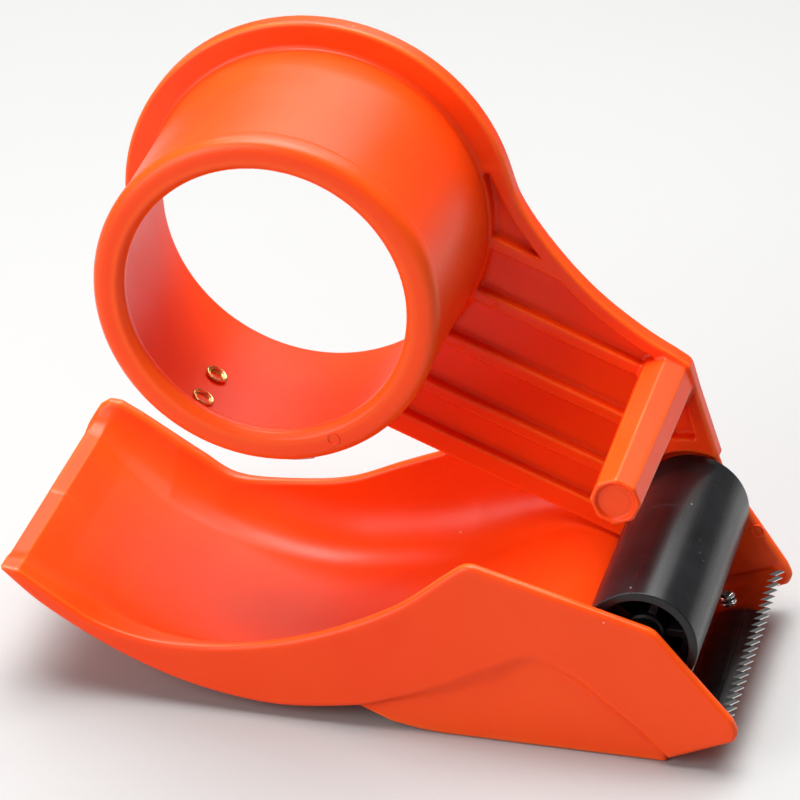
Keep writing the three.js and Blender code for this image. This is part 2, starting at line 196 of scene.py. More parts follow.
def rounded(corners, steps=6):
    """A closed outline of (x, z, corner radius), with its corners rounded."""
    outline = []
    for i, (x, z, radius) in enumerate(corners):
        here = Vector((x, z))
        back = Vector(corners[i - 1][:2]) - here
        ahead = Vector(corners[(i + 1) % len(corners)][:2]) - here
        if radius == 0:
            outline.append((x, z))
            continue
        half_angle = back.angle(ahead) / 2
        reach = radius / math.tan(half_angle)
        start = here + back.normalized() * reach
        end = here + ahead.normalized() * reach
        for k in range(steps + 1):
            t = k / steps
            middle = start.lerp(here, t).lerp(here.lerp(end, t), t)
            outline.append((middle.x, middle.y))
    return outline


SCOOP = [(REAR_X, 28.2), (-71.2, 20.3), (-55.5, 11.5), (-38.8, 5.4), (-20.8, 2.8), (-4, 4.6)]
FLOOR_UNDERSIDE = curve_through([
    *SCOOP, (8, 7.2), (16.4, 10.6), (24, 14.2), (32, 16.6), (40, 15.2), (46, 11.8), (52, 9),
    (58.5, 7.3), (63.8, 6.8)], 90)
WALL_FOOT = curve_through([
    *SCOOP, (5, 7.3), (16.4, 12.6), (26, 18.6), (35.5, 22.9), (44.6, 19.4), (52, 13.4), (59.4, 7.8),
    (66, 1.6)], 84)


def raised(points, distance):
    """The curve moved sideways, to its left."""
    curve = np.array(points)
    along = np.gradient(curve, axis=0)
    along /= np.linalg.norm(along, axis=1)[:, None]
    normals = np.column_stack([-along[:, 1], along[:, 0]])
    return [tuple(p) for p in curve + normals * distance]


FLOOR_TOP = raised(FLOOR_UNDERSIDE, WALL)
NOSE = [(NOSE_X - 0.9, 7.7, 1.4), (NOSE_X, 10, 2.4), (NOSE_X - 1.4, 12.9, 1.4)]

NEAR_TOP = curve_through([
    (15.7, 38.2), (7, 30.9), (-3.9, 24.7), (-15, 20), (-26.1, 16.9), (-37.2, 15.3), (-48.4, 15.3),
    (-59.5, 18), (-68.3, 23.1), (-76.8, 28.6)], 60)
FAR_TOP = curve_through([
    (0.7, 31), (-8.5, 27), (-20, 21.8), (-31.7, 19.6), (-46.1, 19.1), (-54.9, 23.6), (-63.3, 28.6),
    (-68.8, 31.9)], 48)
FAR_REAR_CORNER = [(-73.6, 34.4), (-76.4, 34.6), (-78.6, 33), (-80, 30.6)]
FAR_TAB = [
    (64.8, 33.6, 2), (62, 41, 3), (56.6, 61.2, 6), (46.4, 61.2, 6), (40, 42, 5), (18, 36.6, 6),
    (7, 36.4, 3)]


def sharp(points):
    return [(x, z, 0) for x, z in points]


def near_wall_outline():
    crest = [(62, 32.3, 5), (21.6, 43.2, 4.5)]
    return rounded([(REAR_X, 29, 0), *sharp(WALL_FOOT), *NOSE, *crest, *sharp(NEAR_TOP)])


def far_wall_outline():
    rest = sharp([*FAR_TOP, *FAR_REAR_CORNER])
    return rounded([(REAR_X, 29, 0), *sharp(WALL_FOOT), *NOSE, *FAR_TAB, *rest])


def floor_outline():
    return [*FLOOR_UNDERSIDE, *FLOOR_TOP[:1:-1], (REAR_X, 29)]


SOLE_FRONT = 65.8
SOLE_INSET = 1.5  # the sole's side faces sit in from the walls' outer faces
SOLE_UNDERSIDE = [(SOLE_FRONT, 0), (17, 0), (11.5, 0.4), (5.6, 1.4), (-1.6, 4.4)]
SOLE_RIBS = (23, 43)
SOLE_RIB_HEIGHT = 14.6


def sole_outline():
    top = [(x, z + 1) for x, z in WALL_FOOT if -1 < x < SOLE_FRONT - 1]
    return [(-3, 8), *top, *SOLE_UNDERSIDE]


# ---- The trough ----

def blade_coordinates(x, z):
    """Distance back from the tooth tips in the blade's plane, and depth below its top face."""
    from_tip_x, from_tip_z = BLADE_TIP[0] - x, BLADE_TIP[1] - z
    back = from_tip_x * math.cos(BLADE_TILT) + from_tip_z * math.sin(BLADE_TILT)
    depth = from_tip_z * math.cos(BLADE_TILT) - from_tip_x * math.sin(BLADE_TILT)
    return back, depth


def floor_cavity(x, y, z):
    """The clear channel over the floor; its rounded lower corners are the fillets of the scoop."""
    far_out = [(64, -5), (100, -5), (100, 90), (-100, 90), (-100, 29)]
    over_floor = [(REAR_X, 29), *FLOOR_TOP[2:], *far_out]
    region = outline_field(over_floor, x, z)
    fillet = np.interp(x, [-80, -60, 10, 45, 60], [6, 12, 12, 5, 2]).astype(np.float32)
    return both(region, np.abs(y) - INNER_FACE, fillet)


def sole_hollow(x, y, z):
    """The space under the floor, open below, between the lengthwise and crosswise ribs."""
    under_floor = [(-12, -5), *[p for p in FLOOR_UNDERSIDE if -12 < p[0] < 63], (63, -5)]
    region = outline_field(under_floor, x, z)
    hollow = both(region, np.abs(y) - (HALF_WIDTH - 3.5), 1)
    ribs = np.abs(y) - 1
    for rib_x in SOLE_RIBS:
        crosswise = both(np.abs(x - rib_x) - 1, z - SOLE_RIB_HEIGHT, 0.4)
        ribs = either(ribs, crosswise, 1)
    return without(hollow, ribs, 0.8)


def blade_ledge(x, y, z):
    back, depth = blade_coordinates(x, z)
    ledge = both(between(back, 3.2, 16.4), between(depth, 1.1, 3.7), 0.5)
    ledge = both(ledge, np.abs(y) - INNER_FACE - 0.5)
    front_rib = both(between(x, 63, SOLE_FRONT), z - 5.6)
    front_rib = both(front_rib, np.maximum(np.abs(y) - INNER_FACE, -z), 0.4)
    field = either(ledge, front_rib, 0.8)
    for side_y in (-BLADE_SCREW_Y, BLADE_SCREW_Y):
        away = np.sqrt((back - BLADE_SCREW_BACK) ** 2 + (y - side_y) ** 2)
        boss = both(away - 2.8, between(depth, 2, 7.6), 0.4)
        field = either(field, boss, 0.6)
        field = without(field, both(away - 1.4, depth - 6.3), 0.2)
    return field


def joint_pad(x, y, z):
    """A disc that carries the front joint screw across the step between far wall and sole."""
    disc = cylinder_field(x, z, JOINT_SCREWS[1], JOINT_PAD)
    return both(disc, between(y, HALF_WIDTH - 2, HALF_WIDTH))


def trough_field(x, y, z):
    near_wall = outline_field(near_wall_outline(), x, z)
    far_wall = outline_field(far_wall_outline(), x, z)
    walls = np.where(y < 0, near_wall, far_wall)
    sole = np.minimum(outline_field(sole_outline(), x, z), outline_field(floor_outline(), x, z))
    sole = both(sole, np.abs(y) - (HALF_WIDTH - SOLE_INSET), 0.8)
    fillet = np.interp(x, [-4, 5, 28, 40, 50, 62], [0.01, 1, 5, 3.5, 1.2, 1]).astype(np.float32)
    body = either(walls, sole, fillet)
    body = either(body, joint_pad(x, y, z), 0.6)
    body = both(body, np.abs(y) - HALF_WIDTH, 1.2)
    body = without(body, floor_cavity(x, y, z), 1.1)
    body = without(body, sole_hollow(x, y, z), 0.5)
    body = either(body, blade_ledge(x, y, z), 0.8)

    from_axle = cylinder_field(x, z, (ROLLER_X, ROLLER_Z), 0)
    for side in (-1, 1):
        boss_depth = between(side * y, INNER_FACE - 0.9, INNER_FACE + 1)
        boss = both(from_axle - AXLE_BOSS, boss_depth, 0.3)
        body = either(body, boss, 0.5)
    socket = both(from_axle - AXLE_RADIUS - AXLE_GAP, np.abs(y) - AXLE_SOCKET_END)
    body = without(body, socket, 0.2)
    for place in JOINT_SCREWS:
        away = cylinder_field(x, z, place, 0)
        body = without(body, both(away - JOINT_SCREW_HOLE, -y), 0.2)
        counterbore = both(away - JOINT_COUNTERBORE, JOINT_COUNTERBORE_FLOOR - y)
        body = without(body, counterbore, 0.3)
    return both(body, np.maximum(-z, REAR_X - x))


# ---- The hub and its arm ----

ARM_UPPER_EDGE = [(14.9, 105.6), (20, 95.1), (27.6, 84.9), (36.3, 76), (46.1, 68.7), (53.7, 64.3)]
ARM_CLEARANCE = 14.5  # from the roller's axis
ARM_RIM = 3.4
ARM_HOLE_FLOOR = 29.4
POCKET_START = 38.6  # from the hub's axis
RIB_HEIGHTS = (87.9, 73.7, 59.7, 45.7)  # where the ribs' middles cross x = RIB_X
RIB_X = 10
RIB_THICKNESS = 2.9
LOWER_EDGE_SLOPE = -0.391
LOWER_RIB = 5.6


def lower_edge(x):
    return 36.9 + LOWER_EDGE_SLOPE * (x + 6)


def arm_outline(inset):
    """The arm's plate, or with an inset the area inside its rim."""
    upper = curve_through([(x - inset * 0.75, z - inset * 0.66) for x, z in ARM_UPPER_EDGE], 30)
    corner = [(57.1 - inset, 62.3 - inset, 3), (59 - inset, 55.9, 3)]
    radius = ARM_CLEARANCE + inset
    hollow = arc((ROLLER_X, ROLLER_Z), radius, 66 + inset * 6.7, 198 - inset * 1.6, 30)
    tail_x = 43 - inset * 0.8
    tail = [(tail_x, lower_edge(tail_x) + inset), (-30, lower_edge(-30) + inset), (-30, 100)]
    return rounded([*sharp(upper), *corner, *sharp(hollow), *sharp(tail)])


def hub_profile():
    return rounded([
        (0, HUB_FRONT, 0), (RING_RADIUS, HUB_FRONT, 3), (RING_RADIUS, HUB_FRONT + 4.8, 0.4),
        (RING_RADIUS - 0.4, HUB_FRONT + 5.2, 0.4), (HUB_BACK_RADIUS, ARM_FRONT, 1.2),
        (FLANGE_RADIUS, ARM_FRONT, 0.9), (FLANGE_RADIUS, ARM_BACK, 0.9), (0, ARM_BACK, 0)])


def hand_hole_profile():
    """Narrow at the front lip, wider behind it, and flared at the arm's outer face."""
    return rounded([
        (0, HUB_FRONT - 4, 0), (LIP_BORE + 5, HUB_FRONT - 4, 0),
        (LIP_BORE + 1.5, HUB_FRONT - 0.1, 1), (LIP_BORE, HUB_FRONT + 1.4, 1),
        (LIP_BORE, HUB_FRONT + 3.4, 0.6), (34.4, HUB_FRONT + 4.4, 1.2), (35.5, ARM_FRONT + 1.8, 2),
        (39, ARM_BACK - 0.6, 0.8), (39.8, ARM_BACK + 0.2, 0), (39.8, ARM_BACK + 3, 0),
        (0, ARM_BACK + 3, 0)])


def rib_field(x, z, height):
    """A straight bar that runs parallel to the arm's lower edge."""
    lean = math.hypot(1, LOWER_EDGE_SLOPE)
    return np.abs(z - height - LOWER_EDGE_SLOPE * (x - RIB_X)) / lean - RIB_THICKNESS / 2


def guide_post(x, y, z):
    """Eight-sided and slightly tapered, with a round recess in its free end."""
    along = (y - POST_TIP) / (POCKET_FLOOR - POST_TIP)
    radius = 5.1 + 0.7 * along
    prism = np.full((x.size, 1, z.size), -1e9, np.float32)
    for k in range(8):
        angle = math.radians(45 * k + 22.5)
        side = (x - POST_X) * math.cos(angle) + (z - POST_Z) * math.sin(angle)
        prism = np.maximum(prism, side)
    shaft = both(prism - radius, between(y, POST_TIP, POCKET_FLOOR + 1), 0.6)
    away = cylinder_field(x, z, (POST_X, POST_Z), 0)
    recess = both(away - 4.1, y - POST_TIP - 0.9, 0.3)
    return without(shaft, recess, 0.45)


def arm_field(x, y, z):
    centre = (HUB_X, HUB_Z)
    hub = turned_field(hub_profile(), centre, x, y, z)
    plate_outline = outline_field(arm_outline(0), x, z)
    plate = both(plate_outline, between(y, ARM_FRONT, ARM_BACK), 0.8)
    body = either(hub, plate, 0.6)

    pocket = outline_field(arm_outline(ARM_RIM), x, z)
    outside_hub = POCKET_START - cylinder_field(x, z, centre, 0)
    pocket = both(pocket, outside_hub, 0.6)
    pocket = both(pocket, y - POCKET_FLOOR, 0.6)
    ribs = np.minimum.reduce([rib_field(x, z, height) for height in RIB_HEIGHTS])
    ribs = np.minimum(ribs, z - lower_edge(x) - LOWER_RIB)
    pocket = without(pocket, ribs, 0.5)
    body = without(body, pocket, 0.5)
    body = either(body, guide_post(x, y, z), 0.8)
    body = without(body, turned_field(hand_hole_profile(), centre, x, y, z), 0.2)
    for place in JOINT_SCREWS:
        away = cylinder_field(x, z, place, 0)
        body = without(body, both(away - JOINT_SCREW_HOLE, ARM_HOLE_FLOOR - y), 0.2)
    return body


# ---- Fields to meshes ----

def sampled(field, places):
    """The field's value at places given in cells, with linear interpolation."""
    top = np.array(field.shape) - 2
    places = np.clip(places, 0, top + 0.999)
    base = places.astype(int)
    part = places - base
    total = 0
    for corner in range(8):
        step = np.array([corner >> 2 & 1, corner >> 1 & 1, corner & 1])
        weight = np.prod(np.where(step, part, 1 - part), axis=1)
        index = base + step
        total = total + weight * field[index[:, 0], index[:, 1], index[:, 2]]
    return total


def moulded(name, make_field, low, high, cell=CELL, place=Matrix()):
    """A mesh of the field's surface, with the field's own normals and an edge attribute."""
    axes = [
        np.arange(a - 2 * cell, b + 3 * cell, cell, dtype=np.float32) for a, b in zip(low, high)]
    x, y, z = axes[0][:, None, None], axes[1][None, :, None], axes[2][None, None, :]
    field = make_field(x, y, z).astype(np.float32)
    grid = openvdb.FloatGrid(3 * cell)
    grid.copyFromArray(np.clip(field, -3 * cell, 3 * cell))
    points, triangles, quads = grid.convertToPolygons(isovalue=0.0, adaptivity=0.0)

    steps = np.eye(3)
    reach = 0.6 * steps
    normals = np.column_stack([
        sampled(field, points + step) - sampled(field, points - step) for step in reach])
    normals /= np.linalg.norm(normals, axis=1)[:, None] + 1e-9
    lifted = points + normals / cell  # a millimetre outside, where a hollow behind has no effect
    bend = -6 * sampled(field, lifted)
    for step in steps / cell:
        bend += sampled(field, lifted + step) + sampled(field, lifted - step)

    origin = np.array([axis[0] for axis in axes])
    rotation = np.array(place.to_3x3())
    points = (points * cell + origin) @ rotation.T + np.array(place.translation)
    piece = add_mesh(name, points.tolist(), triangles.tolist() + quads.tolist())
    edge = piece.data.attributes.new("edge", "FLOAT", "POINT")
    edge.data.foreach_set("value", bend.astype(np.float32))
    piece.data.normals_split_custom_set_from_vertices((normals @ rotation.T).tolist())
    return piece


# ---- Meshes made directly ----

def add_mesh(name, vertices, faces, smooth=True):
    """A piece from vertices in millimetres."""
    mesh = bpy.data.meshes.new(name)
    mesh.from_pydata([tuple(MM * c for c in v) for v in vertices], [], faces)
    if smooth:
        mesh.shade_smooth()
    piece = bpy.data.objects.new(name, mesh)
    bpy.context.scene.collection.objects.link(piece)
    return piece


def aimed(origin, direction):
    """The placing that turns +Z to the direction, at the origin; millimetres."""
    turn = Vector((0, 0, 1)).rotation_difference(Vector(direction)).to_matrix().to_4x4()
    return Matrix.Translation(Vector(origin)) @ turn


def turned(name, profile, steps, place):
    """A body turned about the placing's Z; the profile is a closed outline in radius and height."""
    count = len(profile)
    vertices, faces = [], []
    for i in range(steps):
        angle = 2 * math.pi * i / steps
        ahead = (i + 1) % steps
        for k, (radius, height) in enumerate(profile):
            point = Vector((radius * math.cos(angle), radius * math.sin(angle), height))
            vertices.append(place @ point)
            following = (k + 1) % count
            faces.append((
                i * count + k, ahead * count + k, ahead * count + following,
                i * count + following))
    piece = add_mesh(name, vertices, faces)
    weld(piece)
    return piece


def weld(piece):
    """Joins the points that lie together, and drops what collapses."""
    shape = bmesh.new()
    shape.from_mesh(piece.data)
    bmesh.ops.remove_doubles(shape, verts=shape.verts, dist=1e-7)
    bmesh.ops.dissolve_degenerate(shape, edges=shape.edges, dist=1e-8)
    bmesh.ops.recalc_face_normals(shape, faces=shape.faces)
    shape.to_mesh(piece.data)
    shape.free()


# ---- The roller ----

def roller_tube():
    profile = rounded([
        (ROLLER_BORE, -ROLLER_END, 0.25), (ROLLER_RADIUS, -ROLLER_END, 0.35),
        (ROLLER_RADIUS, ROLLER_END, 0.35), (ROLLER_BORE, ROLLER_END, 0.25)])
    return turned("roller_tube", profile, 160, aimed((ROLLER_X, 0, ROLLER_Z), (0, 1, 0)))


def roller_plug(name, side):
    """A five-spoked wheel set back in one end of the tube; its boss reaches out to the wall."""
    low, high = corners_mm(f"roller_plug_{name}")
    boss_end = high[1] if side > 0 else -low[1]
    length = high[1] - low[1]
    wheel_face = boss_end - ROLLER_END + PLUG_RECESS

    def field(x, y, z):
        inward = boss_end - side * y
        away = cylinder_field(x, z, (ROLLER_X, ROLLER_Z), 0)
        wheel_width = between(inward, wheel_face, length)
        rim = both(between(away, 8.3, 10.1), wheel_width, 0.3)
        boss = both(away - 3.6, between(inward, 0, length), 0.4)
        hub = either(both(away - 4.4, wheel_width, 0.4), boss, 0.5)
        angle = np.arctan2(z - ROLLER_Z, x - ROLLER_X)
        fifth = 2 * math.pi / 5
        offset = np.abs((angle + fifth / 2) % fifth - fifth / 2)
        spoke = both(away * np.sin(offset) - 0.9, between(inward, wheel_face + 1.2, length - 1))
        spoke = both(spoke, away - 9)
        wheel = either(either(rim, hub), spoke, 0.5)
        return without(wheel, away - AXLE_RADIUS - AXLE_GAP, 0.3)

    return moulded(f"plug_{name}_wheel", field, low, high, cell=0.3)


def roller_axle():
    low, high = corners_mm("roller_axle")
    profile = rounded([
        (0, low[1], 0), (AXLE_RADIUS, low[1], 0.3), (AXLE_RADIUS, high[1], 0.3), (0, high[1], 0)])
    return turned("axle_rod", profile, 48, aimed((ROLLER_X, 0, ROLLER_Z), (0, 1, 0)))


# ---- The blade and the screws ----

def on_blade(back, y, depth):
    x = BLADE_TIP[0] - back * math.cos(BLADE_TILT) + depth * math.sin(BLADE_TILT)
    z = BLADE_TIP[1] - back * math.sin(BLADE_TILT) - depth * math.cos(BLADE_TILT)
    return (x, y, z)


def blade_strip():
    """The strip with its teeth; each flank has a ground bevel on the top side."""
    half_pitch = BLADE_HALF_LENGTH / BLADE_TEETH
    bevel = 0.85
    flank_foot = 0.6
    rows = {"rear_top": [], "inner": [], "outer": [], "outer_low": [], "rear_low": []}
    vertices = []

    def place(row, back, y, depth):
        rows[row].append(len(vertices))
        vertices.append(on_blade(back, y, depth))

    for i in range(2 * BLADE_TEETH + 1):
        y = -BLADE_HALF_LENGTH + i * half_pitch
        back = TOOTH_DEPTH if i % 2 == 0 else 0
        place("rear_top", BLADE_WIDTH, y, 0)
        place("inner", back + bevel, y, 0)
        place("outer", back, y, flank_foot)
        place("outer_low", back, y, BLADE_THICKNESS)
        place("rear_low", BLADE_WIDTH, y, BLADE_THICKNESS)
    loops = [*rows.values()]
    faces = []
    for a, b in zip(loops, [*loops[1:], loops[0]]):
        faces += [(a[i], a[i + 1], b[i + 1], b[i]) for i in range(2 * BLADE_TEETH)]
    faces.append(tuple(loop[0] for loop in loops))
    faces.append(tuple(loop[-1] for loop in reversed(loops)))
    piece = add_mesh("blade_strip", vertices, faces, smooth=False)
    weld(piece)
    return piece


def pan_screw(name, place, shank, head, head_height, length):
    """A pan-head screw along +Z with a cross recess; its tip is at the placing's origin."""
    thread_depth = 0.12
    thread_pitch = 0.75

    def field(x, y, z):
        away = np.hypot(x, y)
        thread = thread_depth * np.sin(2 * math.pi * z / thread_pitch + np.arctan2(y, x))
        shaft = both(away - shank + thread_depth + thread, between(z, 0, length + 0.2), 0.3)
        shaft = both(shaft, (away - shank - z * 0.8) * 0.75, 0.2)
        dome_radius = 1.6 * head
        dome = np.sqrt(away ** 2 + (z - (length + head_height - dome_radius)) ** 2) - dome_radius
        cap = both(away - head, both(dome, length - z, 0.15), 0.35)
        arm_width = 0.16 * head
        cross = np.minimum(both(np.abs(x) - arm_width, np.abs(y) - head * 0.52),
                           both(np.abs(y) - arm_width, np.abs(x) - head * 0.52))
        recess = both(cross, length + head_height * 0.35 - z)
        return without(either(shaft, cap, 0.1), recess, 0.08)

    low, high = (-head, -head, 0), (head, head, length + head_height)
    return moulded(name, field, low, high, cell=0.09, place=place)


def blade_screw(name, y):
    up = (-math.sin(BLADE_TILT), 0, math.cos(BLADE_TILT))
    place = aimed(on_blade(BLADE_SCREW_BACK, y, 6.2), up)
    return pan_screw(name, place, shank=1.1, head=2, head_height=1.4, length=6.5)


def joint_screw(name, place):
    length = 4.6
    head_seat = HALF_WIDTH - 1.6
    tip = (place[0], head_seat - length, place[1])
    return pan_screw(
        name, aimed(tip, (0, 1, 0)), shank=1.3, head=2.6, head_height=1.3, length=length)


# ---- The core spring and its eyelets ----

SPRING_ANGLE = math.radians(241)  # where the rivets are, round the hub
SPRING_SWEEP = math.radians(46)
SPRING_MIDDLE = -2.5
EYELET_SPACING = 11
EYELET_INSIDE = 33.8  # the rolled rim's distance from the hub's axis
EYELET_OUTSIDE = HUB_BACK_RADIUS + 1.5


def hub_point(angle, radius, y):
    return Vector((HUB_X + radius * math.cos(angle), y, HUB_Z + radius * math.sin(angle)))


def core_spring():
    """A thin strip, flat against the hub at its rivets and bowed outwards beyond them."""
    low, high = corners_mm("core_spring")
    flat_share = 0.14
    thickness = 0.5
    section = rounded([
        (0, low[1], 0.2), (thickness, low[1], 0.2), (thickness, high[1], 0.2),
        (0, high[1], 0.2)], 3)
    steps = 48
    vertices, faces = [], []
    count = len(section)
    for i in range(steps + 1):
        t = i / steps
        along = max(t - flat_share, 0) / (1 - flat_share)
        radius = HUB_BACK_RADIUS + 0.3 + 2.2 * math.sin(along * math.pi * 0.62)
        angle = SPRING_ANGLE + SPRING_SWEEP * (t - 0.1)
        vertices += [hub_point(angle, radius + extra, y) for extra, y in section]
    for i in range(steps):
        for k in range(count):
            following = (k + 1) % count
            faces.append((
                i * count + k, (i + 1) * count + k, (i + 1) * count + following,
                i * count + following))
    faces.append(tuple(range(count)))
    faces.append(tuple(steps * count + k for k in reversed(range(count))))
    piece = add_mesh("spring_strip", vertices, faces)
    weld(piece)
    return piece


def eyelet(name, y):
    """A hollow rivet: a rolled rim in the hand hole, a funnel, a tube and a flange outside."""
    length = EYELET_OUTSIDE - EYELET_INSIDE
    rim = arc((2.08, 0.42), 0.42, -80, 200, 10)
    flange = rounded([(2.3, length - 0.4, 0.15), (2.3, length, 0.3), (1, length, 0.3)])
    profile = [(1, 3.2), *reversed(rim), (1.5, 0.9), (1.5, length - 0.4), *flange]
    outward = Vector((math.cos(SPRING_ANGLE), 0, math.sin(SPRING_ANGLE)))
    return turned(name, profile, 48, aimed(hub_point(SPRING_ANGLE, EYELET_INSIDE, y), outward))


# ---- Small moulding marks ----

def mark_ring(name, centre, radius):
    """A faint ring that stands just off a face which looks towards -Y."""
    proud, buried = 0.2, -0.3
    inner = radius - 0.45
    profile = rounded([
        (inner, buried, 0), (inner, proud, 0.1), (radius, proud, 0.1), (radius, buried, 0)])
    return turned(name, profile, 40, aimed(centre, (0, -1, 0)))


# ---- Materials ----

def node(tree, kind, inputs=None, **settings):
    """A shader node; an input may be a plain value or another node's output."""
    made = tree.nodes.new("ShaderNode" + kind)
    for name, value in settings.items():
        setattr(made, name, value)
    for key, value in (inputs or {}).items():
        if isinstance(value, bpy.types.NodeSocket):
            tree.links.new(value, made.inputs[key])
        else:
            made.inputs[key].default_value = value
    return made


def material(name):
    made = bpy.data.materials.new(name)
    made.use_nodes = True
    return made, made.node_tree, made.node_tree.nodes["Principled BSDF"]


def link(tree, output, shader, name):
    tree.links.new(output, shader.inputs[name])


def stretched(tree, stretch, turn=(0, 0, 0)):
    """Object coordinates in metres, scaled unevenly so that a noise runs along one direction."""
    place = node(tree, "TexCoord").outputs["Object"]
    return node(tree, "Mapping", {"Vector": place, "Rotation": turn, "Scale": stretch}).outputs[0]


def noise(tree, scale, detail=2, stretch=(1, 1, 1), turn=(0, 0, 0), distortion=0):
    inputs = {"Vector": stretched(tree, stretch, turn), "Scale": scale, "Detail": detail,
              "Distortion": distortion}
    return node(tree, "TexNoise", inputs).outputs["Fac"]


def remap(tree, value, low, high, to_low=0.0, to_high=1.0):
    inputs = {
        "Value": value, "From Min": low, "From Max": high, "To Min": to_low, "To Max": to_high}
    return node(tree, "MapRange", inputs).outputs[0]


def combine(tree, operation, a, b):
    return node(tree, "Math", {0: a, 1: b}, operation=operation).outputs[0]


def scaled(tree, value, factor):
    return combine(tree, "MULTIPLY", value, factor)


def blend_colours(tree, amount, a, b):
    made = node(tree, "Mix", {0: amount, 6: a, 7: b}, data_type="RGBA")
    return made.outputs[2]


def specks(tree, scale, share, size):
    """Scattered round dots: the share of cells that have one, and its radius within the cell."""
    place = stretched(tree, (1, 1, 1))
    cells = node(tree, "TexVoronoi", {"Vector": place, "Scale": scale})
    dot = remap(tree, cells.outputs["Distance"], size, size * 0.5)
    pick = node(tree, "SeparateColor", {0: cells.outputs["Color"]}).outputs[0]
    chosen = remap(tree, pick, share, share * 0.98)
    return combine(tree, "MULTIPLY", dot, chosen)


def scratches(tree, scale, turn, share=0.7):
    """Sparse hairlines along one direction."""
    lines = noise(tree, scale, 1, (0.035, 1, 1), turn)
    thin = remap(tree, lines, share, share + 0.02)
    patches = remap(tree, noise(tree, scale * 0.16, 1), 0.5, 0.6)
    return combine(tree, "MULTIPLY", thin, patches)


def bumped(tree, shader, height, distance):
    """Relief from a height without unit; the distance, in metres, is what one of it stands for."""
    inputs = {"Height": height, "Distance": distance, "Strength": 1}
    link(tree, node(tree, "Bump", inputs).outputs[0], shader, "Normal")


def orange_plastic():
    """Glossy moulded ABS: saturated and a little translucent, with a painted highlight along its
    convex edges and painted shade in its creases.
    """
    made, tree, shader = material("orange_moulding")
    deep, light = (0.93, 0.055, 0.003, 1), (0.97, 0.072, 0.004, 1)
    flow = noise(tree, 22, 3, (1, 0.6, 1), distortion=0.6)
    colour = blend_colours(tree, remap(tree, flow, 0.35, 0.65), deep, light)
    # Painted highlight: the orange turns paler along convex edges, where light would catch them.
    edge = node(tree, "Attribute", attribute_name="edge").outputs["Fac"]
    rim = remap(tree, edge, 0.15, 0.6, 0, 0.55)
    colour = blend_colours(tree, rim, colour, (1.0, 0.145, 0.012, 1))
    # Painted shade: the orange darkens in concave creases and corners, where shade falls.
    painted_crease_shade = remap(tree, edge, -0.5, -1.8, 0, 0.25)
    colour = blend_colours(tree, painted_crease_shade, colour, (0.60, 0.022, 0.002, 1))
    dust = specks(tree, 330, 0.008, 0.1)
    colour = blend_colours(tree, scaled(tree, dust, 0.6), colour, (0.95, 0.6, 0.4, 1))
    link(tree, colour, shader, "Base Color")

    # It stays above 0.28: a pattern that goes lower shows its contours as dark lines in a render.
    smudges = remap(tree, noise(tree, 45, 4, distortion=1.2), 0.3, 0.7, 0.29, 0.37)
    link(tree, smudges, shader, "Roughness")

    ripple = noise(tree, 70, 1)
    grain = noise(tree, 1400, 1)
    height = combine(tree, "ADD", scaled(tree, ripple, 3), scaled(tree, grain, 0.06))
    bumped(tree, shader, height, 0.00004)
    shader.inputs["Subsurface Weight"].default_value = 0.12
    shader.inputs["Subsurface Radius"].default_value = (1.0, 0.25, 0.06)
    shader.inputs["Subsurface Scale"].default_value = 0.0016
    shader.inputs["IOR"].default_value = 1.5
    shader.inputs["Specular IOR Level"].default_value = 0.28
    return made


def black_tube():
    """Glossy black plastic with hairline scratches and white dust."""
    made, tree, shader = material("black_tube")
    deep, light = (0.006, 0.006, 0.007, 1), (0.014, 0.014, 0.016, 1)
    mottle = noise(tree, 120, 4)
    colour = blend_colours(tree, remap(tree, mottle, 0.3, 0.7), deep, light)
    dust = specks(tree, 520, 0.05, 0.15)
    colour = blend_colours(tree, scaled(tree, dust, 0.7), colour, (0.5, 0.5, 0.5, 1))
    lines = combine(tree, "MAXIMUM", scratches(tree, 700, (0, 0, 0.5), 0.73),
                    scratches(tree, 800, (0.2, 0.3, 1.9), 0.73))
    colour = blend_colours(tree, scaled(tree, lines, 0.18), colour, (0.2, 0.2, 0.21, 1))
    link(tree, colour, shader, "Base Color")
    lengthwise = (1, 0.03, 1)
    drawn = remap(tree, noise(tree, 260, 2, lengthwise), 0.3, 0.7, 0.24, 0.35)
    roughness = combine(tree, "ADD", drawn, scaled(tree, lines, 0.2))
    link(tree, roughness, shader, "Roughness")
    bumped(tree, shader, combine(tree, "ADD", noise(tree, 300, 2, lengthwise), dust), 0.00002)
    shader.inputs["Specular IOR Level"].default_value = 0.35
    return made


def dark_plastic():
    """Duller black plastic, for the roller's plugs."""
    made, tree, shader = material("dark_plastic")
    mottle = noise(tree, 300, 3)
    colour = blend_colours(tree, mottle, (0.006, 0.006, 0.007, 1), (0.016, 0.016, 0.017, 1))
    dust = specks(tree, 700, 0.08, 0.2)
    colour = blend_colours(tree, scaled(tree, dust, 0.5), colour, (0.4, 0.4, 0.4, 1))
    link(tree, colour, shader, "Base Color")
    link(tree, remap(tree, mottle, 0.3, 0.7, 0.35, 0.5), shader, "Roughness")
    bumped(tree, shader, noise(tree, 1500, 2), 0.00002)
    return made


def metal(name, light, dark, roughness, grain=(1, 1, 1), grain_scale=900, wear=0.25):
    """Bare or plated metal: tone, tarnish, hairlines and a directional grain."""
    made, tree, shader = material(name)
    shader.inputs["Metallic"].default_value = 1
    tarnish = remap(tree, noise(tree, 240, 4), 0.35, 0.7)
    link(tree, blend_colours(tree, tarnish, light, dark), shader, "Base Color")
    brushed = noise(tree, grain_scale, 2, grain)
    lines = scratches(tree, 1100, (0, 0.2, 0.6))
    polish = remap(tree, brushed, 0.3, 0.7, *roughness)
    worn = combine(tree, "ADD", polish, scaled(tree, lines, wear))
    link(tree, worn, shader, "Roughness")
    bumped(tree, shader, brushed, 0.000004)
    return made


# ---- The pieces on their bodies ----

